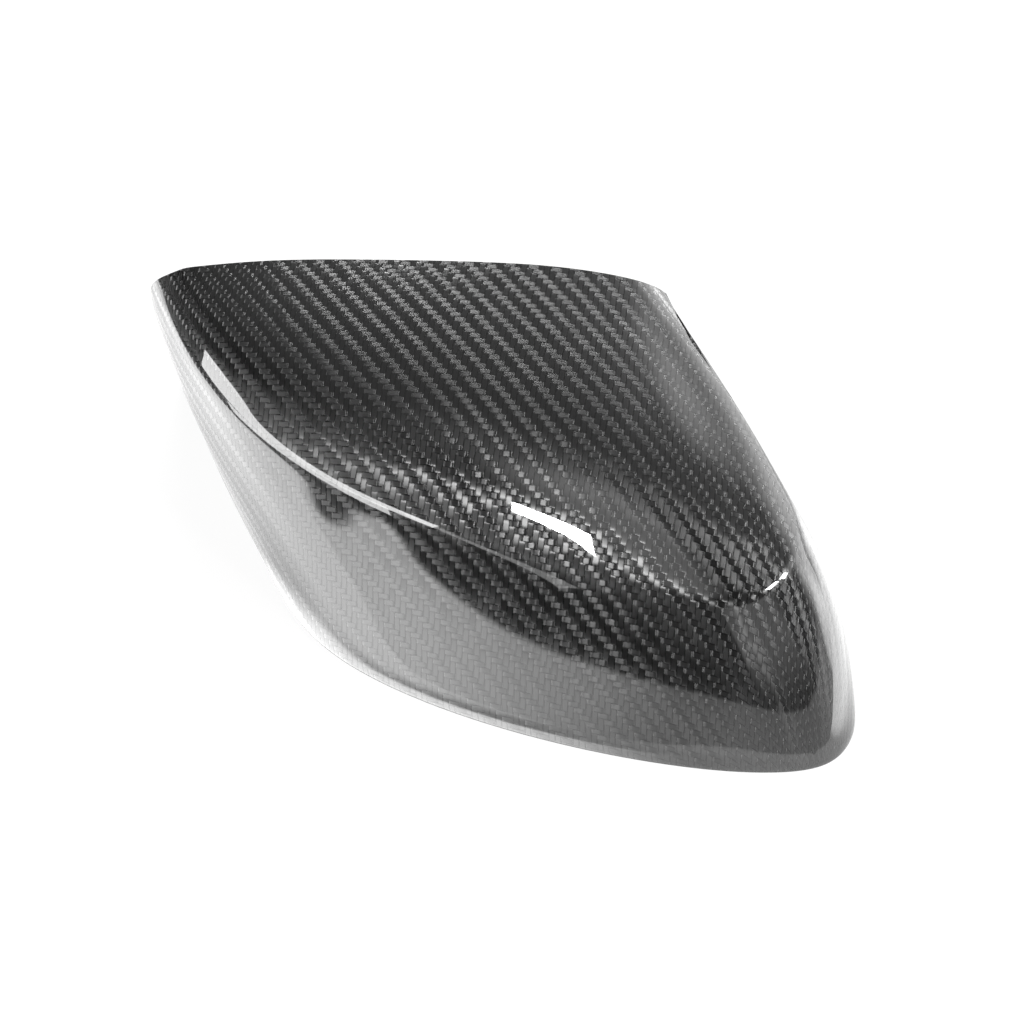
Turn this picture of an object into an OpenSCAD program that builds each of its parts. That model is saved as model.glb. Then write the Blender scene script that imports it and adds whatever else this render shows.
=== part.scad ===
// Wing mirror cover: one laid-up shell of woven fibre laminate, open at the rear and underneath.
// It stands on its base rim at z = 0, rear trim edge parallel to X, nose towards +X and -Y.
// Three rails are drawn first: the rear trim edge, the crease and the base rim. A rib runs across
// them at every station, and the ribs are lofted into an outer skin. The inner skin is that skin
// set in along its own normals by the laminate's thickness.

/* [Overall] */
// Length over the rails, along X
shell_length = 251; // [200:1:300]
// Depth from the front of the base rim to the rear trim edge, along Y
shell_depth = 143; // [113:1:173]
// Height of the rear trim edge at its top, along Z
shell_height = 73; // [58:1:88]

/* [Laminate] */
// Thickness of the laid-up wall
wall = 1.6; // [1:0.1:3]
// Height of the upright lip that stiffens the base rim
lip_height = 2.5; // [1.5:0.1:5]

/* [Form] */
// How far the top face is crowned above a straight line from rear edge to crease, at its fullest
crown = 15; // [8:0.5:20]
// How far the walls are bellied out below the crease, at the nose
belly = 8; // [2:0.5:12]
// Softness of the crease over the left wall
left_softness = 4; // [3:0.5:9]
// Softness of the crease along the front, where it fades out
front_softness = 8; // [5:0.5:16]
// Softness of the crease at the nose
nose_softness = 3; // [2.5:0.5:9]
// Softness of the crease over the right wall
right_softness = 8; // [4:0.5:12]

/* [Fineness] */
// Strips along the rails
strips = 88; // [56:2:92]
// Steps along each rib
rib_steps = 29; // [20:1:30]

/* [Hidden] */

// Base rim, in the plane z = 0, seen from above.
base_rail = [
    for (p = [[-129.5, 65], [-118, 43], [-102, 15], [-84, -12], [-67, -39.5], [-42.5, -55.5],
              [-6, -68], [34, -75.5], [67, -78], [91, -77], [108, -73], [115.5, -63], [118, -48],
              [104, -14], [74, 21]])
        [p[0], p[1], 0]
];
// Crease: from the left rear corner along the left wall and the front, round the nose, and back
// along the right wall to the right rear edge.
crease_rail = [
    [-133, 65, 49], [-122, 44, 52], [-107, 22, 53], [-85, 0, 52.5], [-57, -17, 51], [-27, -28, 49.5],
    [8, -37, 47.5], [42, -44, 45.5], [67, -46, 44], [79, -41.5, 44.5], [89, -33.5, 45.5],
    [92.5, -23, 46], [92, -9, 47.5], [82, 9, 51], [59, 34, 59]
];
// Rear trim edge: it arches across the top in the upright plane through the left rear corner.
rear_rail = [
    for (p = [[-119, 59], [-107, 62], [-93, 65], [-76, 67.5], [-56, 69.5], [-32, 71.5], [-8, 73],
              [8, 73], [20, 72], [27, 71], [32, 70], [36, 69], [40, 67.5], [43, 66], [45, 64]])
        [p[0], crease_rail[0].y, p[1]]
];
last_station = len(base_rail) - 1;
// Stations of the left wall, the left front corner, the front, the nose and the right wall.
left_station = 3;
corner_station = 5;
front_station = 7;
nose_station = 10;
right_station = 12;

// The rails are drawn at one size, and stretched to the overall sizes.
rails = concat(base_rail, crease_rail, rear_rail);
function extent(values) = max(values) - min(values);
stretch = [
    shell_length / extent([for (p = rails) p.x]),
    shell_depth / extent([for (p = rails) p.y]),
    shell_height / extent([for (p = rails) p.z])
];

function unit(v) = v / norm(v);
function scaled(p) = [p.x * stretch.x, p.y * stretch.y, p.z * stretch.z];
function flat(v) = [v.x, v.y, 0];

// Form values at a station, read between the named ones.
function softness(k) = lookup(k, [
    [0, left_softness], [corner_station - 1, left_softness], [front_station, front_softness],
    [nose_station, nose_softness], [last_station, right_softness]
]);
function crown_at(k) = crown * lookup(k, [
    [0, 0.07], [2, 0.4], [left_station, 0.6], [corner_station, 1], [front_station, 0.93],
    [nose_station, 0.33], [right_station, 0.25], [last_station, 0.1]
]);
function belly_at(k) = belly * lookup(k, [
    [0, 0.4], [left_station, 0.65], [corner_station, 0.25], [front_station, 0.3],
    [nose_station - 1, 0.9], [nose_station, 1], [right_station, 1], [last_station, 0.5]
]);

// Way out of the shell, square to the crease and the base rim seen from above.
function outward(k) =
    let (
        a = max(k - 1, 0),
        b = min(k + 1, last_station),
        run = base_rail[b] + crease_rail[b] - base_rail[a] - crease_rail[a]
    )
    unit([run.y, -run.x, 0]);

// Guide points of the rib at station k: rear edge, two over the top face, crease, wall, and the
// top of the lip. The two beside the crease set how tight it is. The shares are how far the two over
// the top face lie from rear edge to crease, and the first has only part of the crown.
rear_share = 0.36;
shoulder_share = 0.7;
rear_fullness = 0.7;
function rib_guides(k) =
    let (
        rear = scaled(rear_rail[k]),
        crease = scaled(crease_rail[k]),
        foot = scaled(base_rail[k]) + [0, 0, lip_height],
        top = rear + (crease - rear) * rear_share + [0, 0, crown_at(k) * rear_fullness],
        shoulder = rear + (crease - rear) * shoulder_share + [0, 0, crown_at(k)],
        side = (crease + foot) / 2 + outward(k) * belly_at(k),
        above = crease + unit(shoulder - crease) * softness(k),
        below = crease + unit(side - crease) * softness(k)
    )
    [rear, top, shoulder, above, crease, below, side, foot];

// Point at t, from 0 to 1, on the cubic spline of the guide points p, which starts and ends on them.
function knot(i, spans) = min(max(i - 3, 0), spans);
function blend(p, i, level, u, spans) =
    level == 0 ? p[i] :
    let (
        low = knot(i, spans),
        high = knot(i + 4 - level, spans),
        a = (u - low) / (high - low)
    )
    (1 - a) * blend(p, i - 1, level - 1, u, spans) + a * blend(p, i, level - 1, u, spans);
function spline(p, t) =
    let (
        spans = len(p) - 3,
        u = t * spans,
        k = min(floor(u), spans - 1)
    )
    blend(p, k + 3, 3, u, spans);

// Outer skin: one row of points per rib, from the rear edge down to the foot of the lip.
all_guides = [for (k = [0 : last_station]) rib_guides(k)];
function column(j) = [for (g = all_guides) g[j]];
rib_columns = [for (j = [0 : len(all_guides[0]) - 1]) column(j)];
loft = [
    for (i = [0 : strips])
        let (
            rib = [for (c = rib_columns) spline(c, i / strips)],
            points = [for (j = [0 : rib_steps]) spline(rib, j / rib_steps)]
        )
        concat(points, [flat(points[rib_steps])])
];
rows = rib_steps + 1;

// The origin is the middle of the footprint, on the surface that the rim stands on.
loft_x = [for (rib = loft) for (p = rib) p.x];
loft_y = [for (rib = loft) for (p = rib) p.y];
middle = [(min(loft_x) + max(loft_x)) / 2, (min(loft_y) + max(loft_y)) / 2, 0];
outer_skin = [for (rib = loft) [for (p = rib) p - middle]];

// Outward normal at rib i, row j. The rear and left edges take it from their neighbours. Along the
// trimmed edges it stays in the plane of the cut, so the rear face and the base rim stay flat.
function normal(i, j) =
    let (
        a = max(i, 1),
        b = max(j, 1),
        along = outer_skin[min(a + 1, strips)][b] - outer_skin[a - 1][b],
        down = outer_skin[a][min(b + 1, rows)] - outer_skin[a][b - 1],
        n = unit(cross(down, along)),
        keep_y = i == 0 || j == 0 ? 0 : 1,
        keep_z = j == rows ? 0 : 1
    )
    unit([n.x, n.y * keep_y, n.z * keep_z]);
inner_skin = [
    for (i = [0 : strips])
        [for (j = [0 : rows]) outer_skin[i][j] - normal(i, j) * wall]
];

// Corners of the cell between ribs i and i + 1 and rows j and j + 1, as indices from a start.
function at(i, j) = i * (rows + 1) + j;
function cell(i, j, start) = [
    start + at(i, j), start + at(i + 1, j), start + at(i + 1, j + 1), start + at(i, j + 1)
];
function halves(c) = [[c[0], c[1], c[2]], [c[0], c[2], c[3]]];
function turned(faces) = [for (f = faces) [f[2], f[1], f[0]]];

// Strip that closes the edge between two neighbouring outer points a and b.
function edge_strip(a, b, start) = halves([a, start + a, start + b, b]);

module mirror_cover() {
    inner_start = (strips + 1) * (rows + 1);
    cells = [for (i = [0 : strips - 1]) for (j = [0 : rows - 1]) [i, j]];
    outer_faces = [for (c = cells) for (f = halves(cell(c[0], c[1], 0))) f];
    inner_faces = [for (c = cells) for (f = turned(halves(cell(c[0], c[1], inner_start)))) f];
    rear_faces = [
        for (i = [0 : strips - 1]) for (f = edge_strip(at(i, 0), at(i + 1, 0), inner_start)) f
    ];
    rim_faces = [
        for (i = [0 : strips - 1]) for (f = edge_strip(at(i + 1, rows), at(i, rows), inner_start)) f
    ];
    left_faces = [
        for (j = [0 : rows - 1]) for (f = edge_strip(at(0, j + 1), at(0, j), inner_start)) f
    ];
    right_faces = [
        for (j = [0 : rows - 1]) for (f = edge_strip(at(strips, j), at(strips, j + 1), inner_start)) f
    ];
    color([0.13, 0.13, 0.14])
        polyhedron(
            points = [for (skin = [outer_skin, inner_skin]) for (rib = skin) for (p = rib) p],
            faces = concat(outer_faces, inner_faces, rear_faces, rim_faces, left_faces, right_faces)
        );
}

mirror_cover();
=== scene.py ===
"""Wing mirror cover: the looks of one laid-up carbon twill shell under a clear gloss coat."""
import math
from functools import partial
import bmesh
import bpy
from mathutils import Matrix, Vector
from mathutils.bvhtree import BVHTree
from mathutils.kdtree import KDTree


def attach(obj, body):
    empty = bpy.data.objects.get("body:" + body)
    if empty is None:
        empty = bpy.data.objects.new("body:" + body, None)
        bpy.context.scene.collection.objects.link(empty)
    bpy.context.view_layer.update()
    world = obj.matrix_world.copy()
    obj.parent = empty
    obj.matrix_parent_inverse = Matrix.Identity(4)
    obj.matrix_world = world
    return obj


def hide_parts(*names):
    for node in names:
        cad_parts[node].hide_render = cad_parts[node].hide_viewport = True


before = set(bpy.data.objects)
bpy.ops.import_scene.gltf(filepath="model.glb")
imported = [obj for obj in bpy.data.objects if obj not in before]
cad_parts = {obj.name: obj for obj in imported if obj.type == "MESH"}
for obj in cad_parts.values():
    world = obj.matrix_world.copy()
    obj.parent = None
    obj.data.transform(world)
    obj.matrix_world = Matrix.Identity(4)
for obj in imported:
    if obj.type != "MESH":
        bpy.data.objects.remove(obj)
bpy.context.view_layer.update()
MM = 0.001

# Camera. The photograph looks down on the cover from in front, a little to the nose's side.
# The lens is long enough that 1 mm on the cover is about 3 pixels of a 1024 pixel frame.
camera_distance = 598 * MM
camera_elevation = 53
camera_turn = 6
camera_target = Vector((8.7, 6.2, 22.5)) * MM
focal_pixels = 1800
frame_pixels = 1024


def way_towards(turn, elevation):
    """Unit vector out of the middle. The turn is in degrees from the front, -Y, towards +X."""
    turn, elevation = math.radians(turn), math.radians(elevation)
    level = math.cos(elevation)
    return Vector((level * math.sin(turn), -level * math.cos(turn), math.sin(elevation)))


camera_data = bpy.data.cameras.new("camera")
camera_data.sensor_width = 36
camera_data.lens = camera_data.sensor_width * focal_pixels / frame_pixels
camera_data.clip_start = 10 * MM
camera = bpy.data.objects.new("camera", camera_data)
bpy.context.scene.collection.objects.link(camera)
camera_way = way_towards(camera_turn, camera_elevation)
camera.location = camera_target + camera_way * camera_distance
camera.rotation_euler = (-camera_way).to_track_quat("-Z", "Y").to_euler()
bpy.context.scene.camera = camera
bpy.context.scene.view_settings.view_transform = "Standard"

# Table. The cover lies on a matt white table top. The camera sees it nearly plain white, with a
# little of the cover's shadow, and quite plain far from the cover. The coat mirrors a pale ground.
table_radius = 2.5
disc_sides = 96
table_white = "#fafafa"
plain_near_cover = 0.85
plain_from, plain_to = 0.3, 0.8
plain_in_mirrors = 0.6
smooth = {"interpolation_type": "SMOOTHSTEP"}


def linear(code):
    """An sRGB hex colour as the linear values that a shader takes."""
    channels = [int(code[i:i + 2], 16) / 255 for i in (1, 3, 5)]
    return [c / 12.92 if c <= 0.04045 else ((c + 0.055) / 1.055) ** 2.4 for c in channels] + [1.0]


def add_node(tree, kind, *values, settings=None, **inputs):
    """A shader node of that kind, or a Math node with that operation where the name is in capitals.
    An input takes a value, another node's output, or a node, which stands for its first output."""
    node = tree.nodes.new("ShaderNodeMath" if kind.isupper() else "ShaderNode" + kind)
    for name, value in (settings or {}).items():
        setattr(node, name, value)
    if kind.isupper():
        node.operation = kind
    named = [(name.replace("_", " "), value) for name, value in inputs.items()]
    for key, value in [*enumerate(values), *named]:
        if isinstance(value, bpy.types.Node):
            value = value.outputs[0]
        if isinstance(value, bpy.types.NodeSocket):
            tree.links.new(value, node.inputs[key])
        else:
            node.inputs[key].default_value = value
    return node


def new_material(name):
    """An empty node material, and what adds a node to it."""
    material = bpy.data.materials.new(name)
    material.use_nodes = True
    material.node_tree.nodes.clear()
    return material, partial(add_node, material.node_tree)


def studio_disc(name, radius, height):
    """A flat round sheet, level and facing up."""
    mesh = bpy.data.meshes.new(name)
    shape = bmesh.new()
    bmesh.ops.create_circle(shape, cap_ends=True, radius=radius, segments=disc_sides)
    bmesh.ops.translate(shape, vec=(0, 0, height), verts=shape.verts[:])
    shape.to_mesh(mesh)
    shape.free()
    disc = bpy.data.objects.new(name, mesh)
    bpy.context.scene.collection.objects.link(disc)
    return disc


floor = studio_disc("floor", table_radius, 0)
white_table, add = new_material("white_table")
on_table = add("TexCoord").outputs["Object"]
away = add("VectorMath", on_table, settings={"operation": "LENGTH"}).outputs["Value"]
plain = add("MapRange", away, plain_from, plain_to, plain_near_cover, 1, settings=smooth)
rays = add("LightPath")
shown_plain = add(
    "MAXIMUM", add("MULTIPLY", rays.outputs["Is Camera Ray"], plain),
    add("MULTIPLY", rays.outputs["Is Glossy Ray"], plain_in_mirrors),
)
matt = add("BsdfDiffuse", Color=linear(table_white))
white = add("Emission", Color=(1, 1, 1, 1), Strength=1)
add("OutputMaterial", Surface=add("MixShader", shown_plain, matt, white))
floor.data.materials.append(white_table)

# Room. Above the table the coat mirrors a dark room with pale walls low down, in front and at the
# right. They are brighter towards the left, where the lamps stand. The camera sees it plain white.
# The walls reach 14 degrees up, and end at an X and a Y of the way out of the middle.
wall_top = 0.25
wall_edge = 0.015
wall_end_rear = (0.2, 0.5)
wall_end_left = (-0.85, -0.55)
wall_fade = (-0.62, -0.02)
left_wall_strength = 3.1
front_wall_strength = 0.62
room_strength = 0.04
# Soft patches of light in the room: turn and elevation, inner and outer radius, strength.
patches = [
    (180, 60, 25, 55, 0.18),
    (134, 12, 15, 38, 2.6),
    (99, 38, 4, 12, 1.2),
    (102, 0, 6, 14, 2.6),
    (6, 69, 4, 16, 0.9),
]
# A panel in front at the right: straight at its left side and its top, fading out downwards.
panel_strength = 0.6
panel_left_turn, panel_left_edge = 110, (-0.01, 0.01)
panel_right_turn, panel_right_edge = -25, (-0.03, 0.1)
panel_fade = (0.2, 0.67)
panel_top_edge = (0.67, 0.69)
dot_product = {"operation": "DOT_PRODUCT"}

world = bpy.data.worlds.new("studio")
bpy.context.scene.world = world
world.use_nodes = True
world.node_tree.nodes.clear()
add = partial(add_node, world.node_tree)
direction = add("TexCoord").outputs["Generated"]
axes = add("SeparateXYZ", direction)
x, y, z = axes.outputs

top = add("MULTIPLY", add(
    "MULTIPLY", add("MapRange", y, *wall_end_rear, 1, 0, settings=smooth),
    add("MapRange", x, *wall_end_left, 0, 1, settings=smooth),
), wall_top)
on_wall = add("MapRange", add("SUBTRACT", top, z), -wall_edge, wall_edge, 0, 1, settings=smooth)
wall_light = add(
    "MapRange", x, *wall_fade, left_wall_strength, front_wall_strength, settings=smooth
)
light = add("ADD", add("MULTIPLY", on_wall, wall_light), room_strength)
for turn, elevation, inner, outer, strength in patches:
    nearness = add("VectorMath", direction, way_towards(turn, elevation), settings=dot_product)
    ends = math.cos(math.radians(outer)), math.cos(math.radians(inner))
    patch = add("MapRange", nearness.outputs["Value"], *ends, 0, strength, settings=smooth)
    light = add("ADD", light, patch)

from_left, from_right = [
    add("VectorMath", direction, way_towards(turn, 0), settings=dot_product).outputs["Value"]
    for turn in (panel_left_turn, panel_right_turn)
]
panel = add(
    "MULTIPLY", add("MapRange", from_left, *panel_left_edge, 0, panel_strength, settings=smooth),
    add("MapRange", from_right, *panel_right_edge, 0, 1, settings=smooth),
)
panel = add("MULTIPLY", panel, add("MapRange", z, *panel_fade, 0, 1, settings=smooth))
panel = add("MULTIPLY", panel, add("MapRange", z, *panel_top_edge, 1, 0, settings=smooth))
light = add("ADD", light, panel)
shown = add("MAXIMUM", light, add("LightPath").outputs["Is Camera Ray"])
add("OutputWorld", Surface=add("Background", Color=(1, 1, 1, 1), Strength=shown))

# Lamps. Soft boxes stand round the cover: a key, strips that draw the streak along the crease, two
# small ones at the right whose glints lie on the nose, and a low one behind for the tows across the
# top. Carbon fibres show only where they mirror a lamp, so the lamps are above a plain level.
# Turn, elevation, distance, width and height, radiance, and roll in degrees.
lamps = {
    "key_box": (-15.5, 55.7, 1.5, (0.19, 0.08), 200, 0),
    "strip_box": (-66, 31, 1.2, (1.4, 0.15), 7, 19),
    "strip_lower": (-60, 22.8, 1.2, (0.95, 0.25), 6, 19),
    "strip_end": (-24.5, 32.5, 1.2, (0.45, 0.07), 1.5, -34),
    "side_box": (88, 42, 1.2, (0.15, 0.25), 36, 0),
    "side_box_front": (72, 48, 1.2, (0.2, 0.12), 45, 0),
    "rear_box": (182, 27, 1.2, (0.9, 0.2), 38, 0),
}
for name, (turn, elevation, distance, size, radiance, roll) in lamps.items():
    lamp = bpy.data.lights.new(name, "AREA")
    lamp.shape = "RECTANGLE"
    lamp.size, lamp.size_y = size
    lamp.energy = radiance * math.pi * size[0] * size[1]
    holder = bpy.data.objects.new(name, lamp)
    bpy.context.scene.collection.objects.link(holder)
    way = way_towards(turn, elevation)
    holder.location = camera_target + way * distance
    facing = (-way).to_track_quat("-Z", "Y").to_matrix()
    holder.rotation_euler = (facing @ Matrix.Rotation(math.radians(roll), 3, "Z")).to_euler()

# Light pad. A clear sheet on the table adds light to what the coat mirrors of the table: left of
# the rim, right of the rim, and in the strip that the front of the lip mirrors. Only mirrored rays
# see it. Each part starts or ends at a distance out of the middle, measured one way.
pad_radius = 2.4
pad_height = 0.3 * MM
left_strength, left_turn, left_rise = 2.6, -48, (49 * MM, 119 * MM)
left_fade = (-0.55, -0.05)
right_strength, right_turn, right_rise = 2.6, 95, (118 * MM, 165 * MM)
right_side = (0.9, 0.95)
lip_strength, lip_turn, lip_end = 4.0, -20, (62 * MM, 75 * MM)
lip_left_end = (-80 * MM, -55 * MM)
lip_right_end = (-10 * MM, 80 * MM)

light_pad = studio_disc("light_pad", pad_radius, pad_height)
light_pad.visible_camera = light_pad.visible_diffuse = light_pad.visible_shadow = False
pad_glow, add = new_material("light_pad")
on_pad = add("TexCoord").outputs["Object"]
x = add("SeparateXYZ", on_pad).outputs["X"]
unit_way = add("VectorMath", on_pad, settings={"operation": "NORMALIZE"})
heading = add("SeparateXYZ", unit_way).outputs["X"]
left_out, right_out, lip_out = [
    add("VectorMath", on_pad, way_towards(turn, 0), settings=dot_product).outputs["Value"]
    for turn in (left_turn, right_turn, lip_turn)
]
at_left = add(
    "MULTIPLY", add("MapRange", left_out, *left_rise, 0, left_strength, settings=smooth),
    add("MapRange", heading, *left_fade, 1, 0, settings=smooth),
)
at_right = add(
    "MULTIPLY", add("MapRange", right_out, *right_rise, 0, right_strength, settings=smooth),
    add("MapRange", heading, *right_side, 0, 1, settings=smooth),
)
along_lip = add(
    "MULTIPLY", add("MapRange", x, *lip_left_end, 0, 1, settings=smooth),
    add("MapRange", x, *lip_right_end, 1, 0, settings=smooth),
)
at_lip = add(
    "MULTIPLY", add("MapRange", lip_out, *lip_end, lip_strength, 0, settings=smooth), along_lip
)
glow = add("ADD", add("ADD", at_left, at_right), at_lip)
lit = add("Emission", Color=(1, 1, 1, 1), Strength=glow)
add("OutputMaterial", Surface=add("AddShader", lit, add("BsdfTransparent")))
light_pad.data.materials.append(pad_glow)

# Cover. The real one is one piece, laid up from woven carbon cloth in a polished mould and trimmed.
# The solid's own mesh is merged, its triangles joined to the four-sided cells that they came from,
# and rounded once more, so that the gloss coat mirrors the studio without facets.
cad_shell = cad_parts["mirror_cover"]
wall = 1.6 * MM
probe_start = wall / 4
probe_reach = 1.6 * wall
merge_gap = 0.02 * MM
joined_bend = math.radians(50)
joined_skew = math.radians(80)
hollow_middle = Vector((0, 20, 8)) * MM
trim_angle = math.radians(40)
trim_radius = 0.3 * MM
OUTSIDE, INSIDE, TRIMMED = 0, 1, 2

shape = bmesh.new()
shape.from_mesh(cad_shell.data)
bmesh.ops.remove_doubles(shape, verts=shape.verts[:], dist=merge_gap)
bmesh.ops.join_triangles(
    shape, faces=shape.faces[:], angle_face_threshold=joined_bend, angle_shape_threshold=joined_skew
)
shell_tree = BVHTree.FromBMesh(shape)


def place_of(face):
    """Whether a face is on the outside, on the inside or on a trimmed edge of the laminate. The
    other skin is one wall behind a face of either skin, and nothing is near behind an edge."""
    middle = face.calc_center_median()
    start = middle - face.normal * probe_start
    _, _, _, depth = shell_tree.ray_cast(start, -face.normal)
    if depth is None or depth > probe_reach:
        return TRIMMED
    return OUTSIDE if face.normal.dot(middle - hollow_middle) > 0 else INSIDE


for face in shape.faces:
    face.smooth = True
    face.material_index = place_of(face)
crease = shape.edges.layers.float.new("crease_edge")
for side in shape.edges:
    if side.calc_face_angle(0) > trim_angle:
        side[crease] = 1.0
outside = [face for face in shape.faces if face.material_index == OUTSIDE]
skin_tree = BVHTree.FromPolygons(
    [v.co.copy() for v in shape.verts], [[v.index for v in face.verts] for face in outside]
)

# Cloth of the cover. A 2x2 twill of 2 mm tows, laid into the mould from the middle of the top face.
# Its tows shear but don't stretch, so its lattice is found by stepping over the skin one tow at a
# time, and the shell gets the tow numbers as its UV map.
tow_pitch = 1.95 * MM
cloth_start = Vector((0, 25, 200)) * MM
cloth_turn = math.radians(-4)
off_skin = 4 * tow_pitch
reach_along = 90
reach_across = 80
knot_corrections = 4
least_spread = 0.1


def onto_skin(point):
    """The point set down on the plane of the nearest outside facet, that facet's normal, and how
    far the point was from the facet. Past a trimmed edge the skin so runs straight on."""
    hit, normal, _, gap = skin_tree.find_nearest(point)
    return point - normal * (point - hit).dot(normal), normal, gap


def flattened(way, normal):
    """A way without its part along the normal."""
    return way - normal * way.dot(normal)


def thread(start, way, steps):
    """Knots one tow apart along a straight thread over the skin."""
    knots = [start]
    for _ in range(steps):
        ahead, _, _ = onto_skin(knots[-1] + way * tow_pitch)
        step = (ahead - knots[-1]).normalized()
        knot, normal, gap = onto_skin(knots[-1] + step * tow_pitch)
        if gap > off_skin:
            break
        knots.append(knot)
        way = flattened(step, normal).normalized()
    return knots


def closing_knot(a, b, corner):
    """The knot that is one tow from both a and b, opposite the corner, or nothing off the skin."""
    knot, normal, gap = onto_skin(a + b - corner)
    for _ in range(knot_corrections):
        way_a, way_b = (knot - a).normalized(), (knot - b).normalized()
        short_a, short_b = tow_pitch - (knot - a).length, tow_pitch - (knot - b).length
        way_a, way_b = flattened(way_a, normal), flattened(way_b, normal)
        aa, ab, bb = way_a.dot(way_a), way_a.dot(way_b), way_b.dot(way_b)
        spread = max(aa * bb - ab * ab, least_spread)
        move = way_a * (short_a * bb - short_b * ab) + way_b * (short_b * aa - short_a * ab)
        knot, normal, gap = onto_skin(knot + move / spread)
    return knot if gap < off_skin else None


start, start_normal, _, _ = skin_tree.ray_cast(cloth_start, Vector((0, 0, -1)))
start_way = Matrix.Rotation(cloth_turn, 3, "Z") @ Vector((1, 0, 0))
along = flattened(start_way, start_normal).normalized()
across = along.cross(start_normal)
lattice = {}
for turn_u in (1, -1):
    for k, knot in enumerate(thread(start, along * turn_u, reach_along)):
        lattice[turn_u * k, 0] = knot
for turn_v in (1, -1):
    for k, knot in enumerate(thread(start, across * turn_v, reach_across)):
        lattice[0, turn_v * k] = knot
for turn_u in (1, -1):
    for turn_v in (1, -1):
        for i in range(reach_along):
            for j in range(reach_across):
                corner = (turn_u * i, turn_v * j)
                beside = (turn_u * (i + 1), turn_v * j)
                below = (turn_u * i, turn_v * (j + 1))
                if corner in lattice and beside in lattice and below in lattice:
                    knot = closing_knot(lattice[beside], lattice[below], lattice[corner])
                    if knot:
                        lattice[turn_u * (i + 1), turn_v * (j + 1)] = knot
keys = list(lattice)
knot_tree = KDTree(len(keys))
for k, key in enumerate(keys):
    knot_tree.insert(lattice[key], k)
knot_tree.balance()


def lattice_step(i, j, di, dj):
    """The way and length of one tow at a knot, from whichever of its two neighbours are there."""
    ahead, behind = lattice.get((i + di, j + dj)), lattice.get((i - di, j - dj))
    here = lattice[i, j]
    if ahead and behind:
        return (ahead - behind) / 2
    return ahead - here if ahead else here - behind


def cloth_place(point):
    """The tow numbers along and across the cloth at a point."""
    _, k, _ = knot_tree.find(point)
    i, j = keys[k]
    a, b = lattice_step(i, j, 1, 0), lattice_step(i, j, 0, 1)
    off = point - lattice[i, j]
    aa, ab, bb = a.dot(a), a.dot(b), b.dot(b)
    oa, ob = off.dot(a), off.dot(b)
    spread = aa * bb - ab * ab
    return i + (oa * bb - ob * ab) / spread, j + (ob * aa - oa * ab) / spread


places = {v: cloth_place(v.co) for v in shape.verts}
cloth_layer = shape.loops.layers.uv.new("cloth")
for face in shape.faces:
    for loop in face.loops:
        loop[cloth_layer].uv = places[loop.vert]
shell_mesh = bpy.data.meshes.new("cover_shell")
shape.to_mesh(shell_mesh)
shape.free()
shell = bpy.data.objects.new("cover_shell", shell_mesh)
bpy.context.scene.collection.objects.link(shell)
rounding = shell.modifiers.new("rounding", "SUBSURF")
rounding.levels = rounding.render_levels = 1
easing = shell.modifiers.new("easing", "BEVEL")
easing.width = trim_radius
easing.segments = 2
easing.limit_method = "ANGLE"
easing.angle_limit = trim_angle
easing.material = TRIMMED
easing.face_strength_mode = "FSTR_ALL"
evening = shell.modifiers.new("evening", "WEIGHTED_NORMAL")
evening.use_face_influence = True

# Twill of the cover. Each tow goes over two and under two, one tow further in each next row. A tow
# is flat on top, turns down towards the ends of each float, and is rounded off at its sides, where
# it is darker: dark resin in the gaps, and painted shade where the sides sink away. Lengths are in
# tows, and slopes are rise over run.
tow_wobble = 0.16
wobble_scale = 0.25
repeat = 4.0
weft_shift = 1.0
weft_end_slope = 1.0
warp_end_slope = 0.06
end_power = 4.0
end_reach = 1.2
side_slope = 0.2
side_power = 4.0
float_tilt = 0.03
tow_round = 0.4
warp_cover = 0.3
dark_side_from, dark_side = 0.6, 0.35
# The middle of a noise, of a tow's width and of a normal map's channel, and that map's plain up.
MIDDLE = 0.5
UP = 1.0


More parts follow.
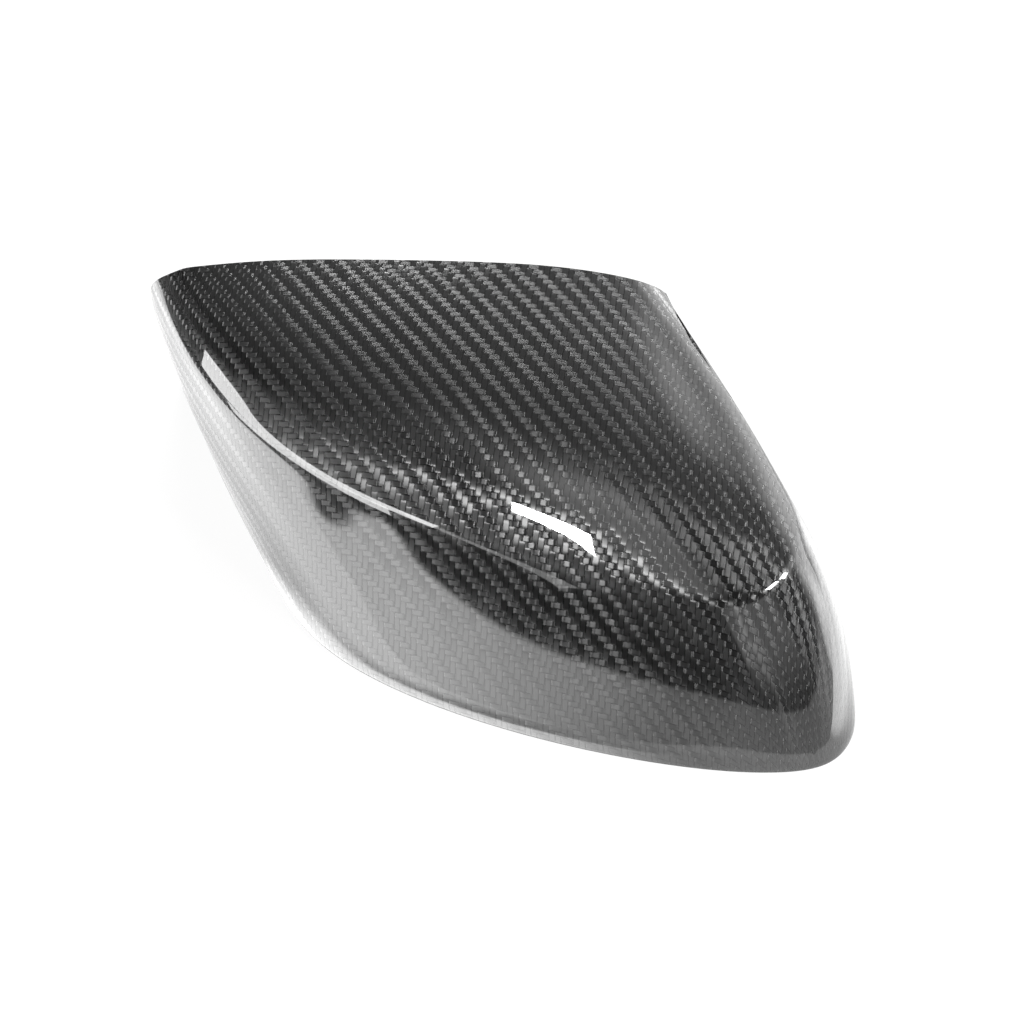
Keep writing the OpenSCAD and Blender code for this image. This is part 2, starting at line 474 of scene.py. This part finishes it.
def twill(add):
    """The cloth's pattern at a place: whether a warp tow is on top, the normal of the tow on top,
    and its colour's factor, from 1 at its middle to less at its sides, for resin and painted shade."""
    cloth = add("UVMap", settings={"uv_map": "cloth"}).outputs[0]
    wobble = add("TexNoise", settings={"noise_dimensions": "2D"},
                 Vector=cloth, Scale=wobble_scale, Detail=1.0)
    place = add("SeparateXYZ", cloth)
    shift = add("SeparateXYZ", wobble.outputs["Color"])
    u, v = [
        add("MULTIPLY_ADD", add("SUBTRACT", stray, MIDDLE), 2 * tow_wobble, number)
        for stray, number in zip(shift.outputs[:2], place.outputs[:2])
    ]
    column, row = add("FLOOR", u), add("FLOOR", v)
    # From -1 at one side of a tow to 1 at the other.
    off_warp = add("MULTIPLY", add("SUBTRACT", add("SUBTRACT", u, column), MIDDLE), 2.0)
    off_weft = add("MULTIPLY", add("SUBTRACT", add("SUBTRACT", v, row), MIDDLE), 2.0)
    run_warp = add("SUBTRACT", v, column)
    run_weft = add("ADD", add("SUBTRACT", u, row), weft_shift)
    at_warp = add("WRAP", run_warp, repeat / 2, -repeat / 2)
    at_weft = add("WRAP", run_weft, repeat / 2, -repeat / 2)

    def height(at, off):
        bend = add("COSINE", add("MULTIPLY", at, math.pi / 2))
        return add("SUBTRACT", bend, add("MULTIPLY", add("MULTIPLY", off, off), tow_round))

    def lean(at, slope, power):
        grown = add("POWER", add("MINIMUM", add("ABSOLUTE", at), end_reach), power)
        return add("MULTIPLY", add("MULTIPLY", grown, add("SIGN", at)), slope)

    def on_top(weft, warp):
        return add("Mix", settings={"data_type": "FLOAT"}, Factor=warp_on_top, A=weft, B=warp)

    warp_height = add("ADD", height(at_warp, off_warp), warp_cover)
    warp_on_top = add("GREATER_THAN", warp_height, height(at_weft, off_weft))
    float_number = add("ROUND", add("DIVIDE", on_top(run_weft, run_warp), repeat))
    float_name = add("CombineXYZ", on_top(row, column), float_number, warp_on_top)
    chance = add("TexWhiteNoise", float_name, settings={"noise_dimensions": "3D"})
    tilt = add("SeparateXYZ", chance.outputs["Color"])
    ends_and_sides = {
        "X": (lean(at_weft, weft_end_slope, end_power), lean(off_warp, side_slope, side_power)),
        "Y": (lean(off_weft, side_slope, side_power), lean(at_warp, warp_end_slope, end_power)),
    }
    slopes = []
    for k, leans in ends_and_sides.items():
        tilted = add("MULTIPLY", add("SUBTRACT", tilt.outputs[k], MIDDLE), 2 * float_tilt)
        slopes.append(add("MULTIPLY_ADD", add("ADD", on_top(*leans), tilted), MIDDLE, MIDDLE))
    normal = add("NormalMap", settings={"uv_map": "cloth"}, Color=add("CombineXYZ", *slopes, UP))
    from_middle = add("ABSOLUTE", on_top(off_weft, off_warp))
    # Darker towards the tow's sides: dark resin in the gaps, and painted shade on the sunken edges.
    resin_and_shade = add("MapRange", from_middle, dark_side_from, 1.0, 1.0, dark_side, settings=smooth)
    return warp_on_top, normal, resin_and_shade


# Materials of the cover. Carbon fibres shine like dark wire, in a line across their own way, so the
# warp and the weft light up in turn. The epoxy over them is polished outside and satin inside.
fibre_roughness = 0.3
quarter_turn = 0.25
# The index is above epoxy's 1.5, so that the coat mirrors as much as it does in the photograph.
coat_index = 1.8
# A Mix node's colour sockets, by number, because its sockets for other kinds share their names.
BLACK_END, FIBRE_END, MIXED = 6, 7, 2


def laminate(name, fibre, coat, haze):
    """Carbon twill in epoxy. It takes the fibres' colour, and the coat's weight and roughness."""
    material, add = new_material(name)
    warp_on_top, tow_normal, resin_and_shade = twill(add)
    shade = add("Mix", settings={"data_type": "RGBA"}, Factor=resin_and_shade)
    shade.inputs[BLACK_END].default_value = (0, 0, 0, 1)
    shade.inputs[FIBRE_END].default_value = linear(fibre)
    across_weft = add("MULTIPLY", add("SUBTRACT", 1.0, warp_on_top), quarter_turn)
    fibre_way = add("Tangent", settings={"direction_type": "UV_MAP", "uv_map": "cloth"})
    add("OutputMaterial", Surface=add(
        "BsdfPrincipled", Base_Color=shade.outputs[MIXED], Metallic=1.0, Roughness=fibre_roughness,
        Anisotropic=1.0, Anisotropic_Rotation=across_weft, Normal=tow_normal, Tangent=fibre_way,
        Coat_Weight=coat, Coat_Roughness=haze, Coat_IOR=coat_index,
    ))
    return material


# Carbon twill under a polished clear coat: deep black with silver tows and sharp reflections.
carbon_twill = laminate("carbon_twill_polished_clear_coat", "#424242", 1.0, 0.02)
# The same laminate as it comes from the vacuum bag: a satin epoxy face that blurs what it mirrors.
# Its fibres are darker than the outside's: painted shade inside the hollow.
bagged_twill = laminate("carbon_twill_satin_epoxy", "#262626", 0.3, 0.35)
# Cut edge of the laminate: matt black, where saw and file have opened the plies.
cut_edge, add = new_material("cut_laminate_edge")
add("OutputMaterial", Surface=add("BsdfPrincipled", Base_Color=linear("#161616"), Roughness=0.55))
for material in (carbon_twill, bagged_twill, cut_edge):
    shell.data.materials.append(material)

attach(shell, "root")
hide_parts("mirror_cover")
